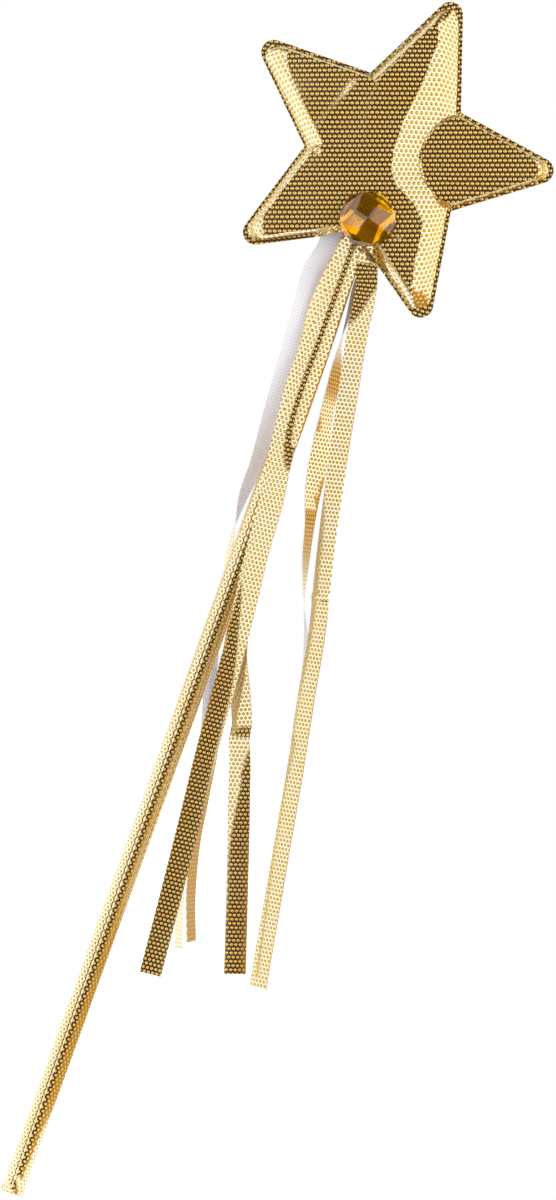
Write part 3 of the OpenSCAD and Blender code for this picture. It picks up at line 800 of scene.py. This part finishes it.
def stick_sleeve():
    """A closed profile carried round: down the tucked end, over the lip, up the outside and
    back down the inside of the wall."""
    bend = np.linspace(0, np.pi / 2, 7)
    tuck_z = np.linspace(TUCK_TOP, LIP_TOP, 6)
    lip_r, lip_z = STICK_R - LIP_ROUND * (1 - np.sin(bend)), LIP_ROUND * (1 - np.cos(bend))
    wall_z = np.linspace(LIP_TOP, SLEEVE_TOP, WALL_ROWS)
    r = np.concatenate([np.full(6, TUCK_R), [1.45, 1.9], lip_r, np.full(WALL_ROWS, STICK_R),
                        [INSIDE_R, INSIDE_R, 2.4, 1.75, 1.65]])
    z = np.concatenate([tuck_z, [0.25, 0.05], lip_z, wall_z,
                        [SLEEVE_TOP, LIP_ROUND, 0.42, 0.45, TUCK_TOP]])
    angle = np.linspace(0, 2 * np.pi, CELLS_ABOUT, endpoint=False)
    a, zz = np.meshgrid(angle, z)
    rr = sleeve_radius(np.repeat(r[:, None], CELLS_ABOUT, 1), zz, a)
    rings = np.stack([rr * np.cos(a), rr * np.sin(a), zz], -1)
    steps = np.hypot(np.diff(r, append=r[0]), np.diff(z, append=z[0]))
    path = np.concatenate([[0], np.cumsum(steps)])
    u = np.append(angle, 2 * np.pi) * STICK_R
    cloth = np.stack(np.broadcast_arrays(u[None, :], path[:, None]), -1) + SLEEVE_SHIFT
    points, quads, corners = lay_grid(rings, cloth, ring=True, loop=True)
    finish_of_face = np.zeros(len(quads))
    piece = make_piece("stick_sleeve", points, quads, corners, finish_of_face, [stick_foil])
    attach(piece, "wand")
    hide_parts("stick_wrap")


stick_sleeve()

# %% [markdown]
# ## Gem, glue and tube
# The gem is clear amber plastic with a hard glossy surface, and its back is mirrored so that
# light comes back through it. The glue and the tube are hidden inside. Their solids already have
# the right shapes, so they only get finishes.

# %% Gem finishes and hidden solids
AMBER, AMBER_DEEP = (1.0, 0.78, 0.05), (1.0, 0.62, 0.02)
MIRROR_BRIGHT, MIRROR_DULL, MIRROR_CELLS = (0.95, 0.92, 0.86), (0.55, 0.49, 0.38), 330.0


def gem_finish():
    """Clear amber plastic: light passes and takes the colour."""
    material, tree, shader = new_finish("gem amber")
    toned(tree, shader, 9.0, AMBER, AMBER_DEEP)
    for socket, value in (("Roughness", 0.02), ("Transmission Weight", 1.0), ("IOR", 1.5),
                          ("Coat Weight", 1.0), ("Coat IOR", 1.6)):
        shader.inputs[socket].default_value = value
    return material


def mirror_finish():
    """Bright coating on the gem's back, in small patches of differing tone."""
    material, tree, shader = new_finish("gem mirror")
    where = add_node(tree, "ShaderNodeTexCoord").outputs["Object"]
    cells = add_node(tree, "ShaderNodeTexVoronoi", {"Vector": where, "Scale": MIRROR_CELLS})
    patch = add_node(tree, "ShaderNodeSeparateColor", {0: cells.outputs["Color"]}).outputs[0]
    coat = mix_colour(tree, patch, MIRROR_BRIGHT, MIRROR_DULL)
    tree.links.new(coat, shader.inputs["Base Color"])
    shader.inputs["Metallic"].default_value = 0.9
    shader.inputs["Roughness"].default_value = 0.08
    return material


glue_finish = plain_finish("set glue", (0.82, 0.76, 0.62), (0.88, 0.83, 0.70), 0.35, 3.0)
tube_finish = plain_finish("tube plastic", (0.72, 0.70, 0.65), (0.78, 0.76, 0.70), 0.4, 10.0)
for node, finish in (("gem_glue", glue_finish), ("stick_glue", glue_finish),
                     ("stick_core", tube_finish)):
    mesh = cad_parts[node].data
    mesh.materials.clear()
    mesh.materials.append(finish)
    print(node, "takes the finish", finish.name)

# %% [markdown]
# The mirror coating behind the gem is a thin flat disc, a hair's breadth away from the gem so
# that light passes between them. It sends back what comes in through the facets.

# %% Gem backing
GEM_X, GEM_Z, GEM_R, GEM_SEAT, GEM_TURN = 1.2, MOUTH_Z + 3.9, 7.7, -7.0, 30.0
FOIL_THICK, BACKING_THICK, GIRDLE_SIDES = 0.2, 0.14, 16


def on_gem(angle, out, tall):
    """Points round the gem's middle: an angle, a distance out and a height above its seat."""
    return np.stack([GEM_X + out * np.cos(angle), GEM_SEAT - tall, GEM_Z + out * np.sin(angle)], -1)


def gem_backing():
    """A thin flat disc: a ring of quads round its edge, its back and its front."""
    n = GIRDLE_SIDES
    angle = np.radians(GEM_TURN) + np.arange(n) * 2 * np.pi / n
    rings = np.stack([on_gem(angle, GEM_R * np.cos(np.pi / n), np.full(n, tall))
                      for tall in (0.0, BACKING_THICK)])
    cloth = np.concatenate([rings[..., ::2], rings[:, :1, ::2]], axis=1)
    points, quads, corners = lay_grid(rings, cloth, ring=True)
    back, front = np.arange(n)[::-1], np.arange(n, 2 * n)
    faces = [*quads.tolist(), back.tolist(), front.tolist()]
    corners = [corners.reshape(-1, 2), points[back][:, ::2], points[front][:, ::2]]
    piece = make_piece("gem_backing", points, faces, corners, np.zeros(len(faces)),
                       [mirror_finish()], smooth=False)
    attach(piece, "wand")
    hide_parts("gem_foil")


gem_backing()

# %% [markdown]
# The gem is a low dome of flat facets: four large kites meet at its point, eight triangles lie
# between them, and a row of small facets leads down to the straight girdle. It could be cut from
# a dome with planes, but a list of corners ring by ring says the same more plainly.

# %% Faceted gem
GEM_TALL, GEM_GIRDLE = 4.6, 0.92
KITE_SLOPE, KITE_CORNER, CROWN_RIM, CROWN_LOW = 0.28, 0.49, 0.93, 1.5


def gem_corners():
    """Corners ring by ring: the point, four kite corners, eight crown corners, two girdle rings.

    A kite leans by KITE_SLOPE along its own middle line, so its four corners lie in one plane."""
    turns = {n: np.radians(GEM_TURN + np.arange(n) * 360 / n) for n in (4, 8, GIRDLE_SIDES)}
    inner, rim = KITE_CORNER * GEM_R, CROWN_RIM * GEM_R
    inner_tall = GEM_TALL - KITE_SLOPE * inner * np.cos(np.pi / 4)
    rim_tall = np.where(np.arange(8) % 2, CROWN_LOW, GEM_TALL - KITE_SLOPE * rim)
    angle = np.concatenate([[0.0], turns[4] + np.pi / 4, turns[8],
                            turns[GIRDLE_SIDES], turns[GIRDLE_SIDES]])
    out = np.repeat([0.0, inner, rim, GEM_R], [1, 4, 8, 2 * GIRDLE_SIDES])
    tall = np.concatenate([[GEM_TALL], np.full(4, inner_tall), rim_tall,
                           np.full(GIRDLE_SIDES, GEM_GIRDLE), np.zeros(GIRDLE_SIDES)])
    return on_gem(angle, out, FOIL_THICK + tall)


def in_ring(first, count):
    """A function that gives the index of a corner in one ring, counted round and round."""
    return lambda i: first + i % count


def faceted_gem():
    """Facets between the rings of corners, each listed anticlockwise as seen from outside."""
    points = gem_corners()
    n = GIRDLE_SIDES
    corner, crown, top, low = (in_ring(*ring) for ring in ((1, 4), (5, 8), (13, n), (13 + n, n)))
    k, j, g = np.arange(4), np.arange(8), np.arange(n)
    facets = [(0 * k, corner(k - 1), crown(2 * k), corner(k)),
              (corner(k), crown(2 * k), crown(2 * k + 1)),
              (corner(k), crown(2 * k + 1), crown(2 * k + 2)),
              (crown(j), top(2 * j), top(2 * j + 1)),
              (crown(j), top(2 * j + 1), crown(j + 1)),
              (crown(j + 1), top(2 * j + 1), top(2 * j + 2)),
              (top(g), low(g), low(g + 1), top(g + 1))]
    faces = [face for group in facets for face in np.stack(group, 1).tolist()]
    faces.append(low(g[::-1]).tolist())
    corners = [points[face][:, ::2] for face in faces]
    piece = make_piece("faceted_gem", points, faces, corners, np.zeros(len(faces)),
                       [gem_finish()], smooth=False)
    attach(piece, "wand")
    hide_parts("gem")
    print("facets on the gem:", len(faces))


faceted_gem()

# %% [markdown]
# ## The floor
# The floor is matt and nearly white. Where the camera, a mirror or the gem looks at it, it gives
# some light of its own, so that it can't be told from the white behind it. It ends close in front
# of the wand and on its right, so that the foil mirrors the room there.

# %% Floor
FLOOR_LEFT, FLOOR_RIGHT, FLOOR_FRONT, FLOOR_BACK, FLOOR_Z = -3000.0, 150.0, -25.0, 5000.0, -1.0
FLOOR_PATCH, FLOOR_GLOW = 400.0, 0.6


def floor_finish():
    """Matt pale white, lifted to full white where the camera, a mirror or the gem sees it."""
    material, tree, shader = new_finish("pale floor")
    toned(tree, shader, FLOOR_PATCH, (0.86, 0.86, 0.86), (0.88, 0.88, 0.88))
    shader.inputs["Roughness"].default_value = 1.0
    ray = add_node(tree, "ShaderNodeLightPath").outputs
    seen = calc(tree, "MAXIMUM", ray["Is Camera Ray"], ray["Is Glossy Ray"])
    seen = calc(tree, "MAXIMUM", seen, ray["Is Transmission Ray"])
    shader.inputs["Emission Color"].default_value = (1, 1, 1, 1)
    tree.links.new(calc(tree, "MULTIPLY", seen, FLOOR_GLOW), shader.inputs["Emission Strength"])
    return material


floor_edges = [(FLOOR_LEFT, FLOOR_FRONT), (FLOOR_RIGHT, FLOOR_FRONT),
               (FLOOR_RIGHT, FLOOR_BACK), (FLOOR_LEFT, FLOOR_BACK)]
floor_points = np.array([(x, y, FLOOR_Z) for x, y in floor_edges])
floor_map = np.array([[0, 0], [1, 0], [1, 1], [0, 1]])
piece = make_piece("floor", floor_points, [[0, 1, 2, 3]], [floor_map], [0], [floor_finish()])

# %% [markdown]
# ## The room
# The room is a world shader that asks what kind of ray is looking. The camera sees white all
# round, and plain surfaces get an even soft light. Foil and gem see walls: white behind the wand,
# warm on the right and dark brown behind the camera, which makes the flat foil dark. What passes
# through the gem sees them a little paler.

# %% Room
DARK_ROOM, WARM_WALL, WHITE = (0.05, 0.015, 0.0), (0.52, 0.24, 0.02), (1.0, 1.0, 1.0)
SOFT_FILL, GLASS_LIFT, RIGHT_SHADE = 0.77, 0.16, 0.6

world = bpy.data.worlds.new("studio")
scene.world = world
world.use_nodes = True
room = world.node_tree
room.nodes.clear()
ray = add_node(room, "ShaderNodeLightPath").outputs
direction = add_node(room, "ShaderNodeTexCoord").outputs["Generated"]
look = add_node(room, "ShaderNodeSeparateXYZ", {0: direction}).outputs
on_right = fade(room, look[0], 0.4, 0.75)
aside = calc(room, "MULTIPLY", calc(room, "MAXIMUM", look[0], 0.0), RIGHT_SHADE)
behind = fade(room, calc(room, "SUBTRACT", look[1], aside), 0.05, 0.8)
walls = mix_colour(room, on_right, DARK_ROOM, WARM_WALL)
walls = mix_colour(room, behind, walls, WHITE)
lift = calc(room, "MULTIPLY", ray["Is Transmission Ray"], GLASS_LIFT)
walls = mix_colour(room, lift, walls, WHITE)
seen = mix_colour(room, ray["Is Diffuse Ray"], walls, (SOFT_FILL,) * 3)
seen = mix_colour(room, ray["Is Camera Ray"], seen, WHITE)
light = add_node(room, "ShaderNodeBackground", {"Color": seen, "Strength": 1.0})
room.links.new(light.outputs[0], add_node(room, "ShaderNodeOutputWorld").inputs[0])
print("the room has", len(room.nodes), "nodes")

# %% [markdown]
# ## The lamps
# Foil shows where its lamps are. A large soft lamp on the left and a smaller one on the right,
# from the star's height upwards, draw its slopes. A narrow one further right keeps the steepest
# slopes bright. A lamp's power follows from its size, so all three are equally bright to look at.

# %% Lamps
LAMP_BRIGHT = 1.15
# Middle of each lamp, the point it faces, its width and its height
LAMPS = {
    "left_lamp": ((-740, -399, 140), (0, 0, 140), 1760, 1150),
    "right_lamp": ((311, -306, 600), (-59, -116, 600), 700, 700),
    "far_right_lamp": ((530, 121, 625), (160, 311, 625), 260, 650),
}


def soft_lamp(name, centre, aim, wide, high):
    """An area lamp in mm, turned to a point at its own level."""
    data = bpy.data.lights.new(name, "AREA")
    data.shape, data.size, data.size_y = "RECTANGLE", wide * MM, high * MM
    data.energy = LAMP_BRIGHT * np.pi * wide * high * MM * MM
    lamp = bpy.data.objects.new(name, data)
    facing = np.array(centre, float) - np.array(aim, float)
    facing /= np.linalg.norm(facing)
    level_x = np.cross([0, 0, 1.0], facing)
    level_x /= np.linalg.norm(level_x)
    turned = np.eye(4)
    turned[:3, 0], turned[:3, 1], turned[:3, 2] = level_x, np.cross(facing, level_x), facing
    turned[:3, 3] = np.array(centre) * MM
    lamp.matrix_world = Matrix(turned.tolist())
    lamp.visible_camera = False
    scene.collection.objects.link(lamp)
    print(name, "gives", round(data.energy, 2), "W")


for lamp_name, setting in LAMPS.items():
    soft_lamp(lamp_name, *setting)
scene.view_settings.view_transform = "Standard"
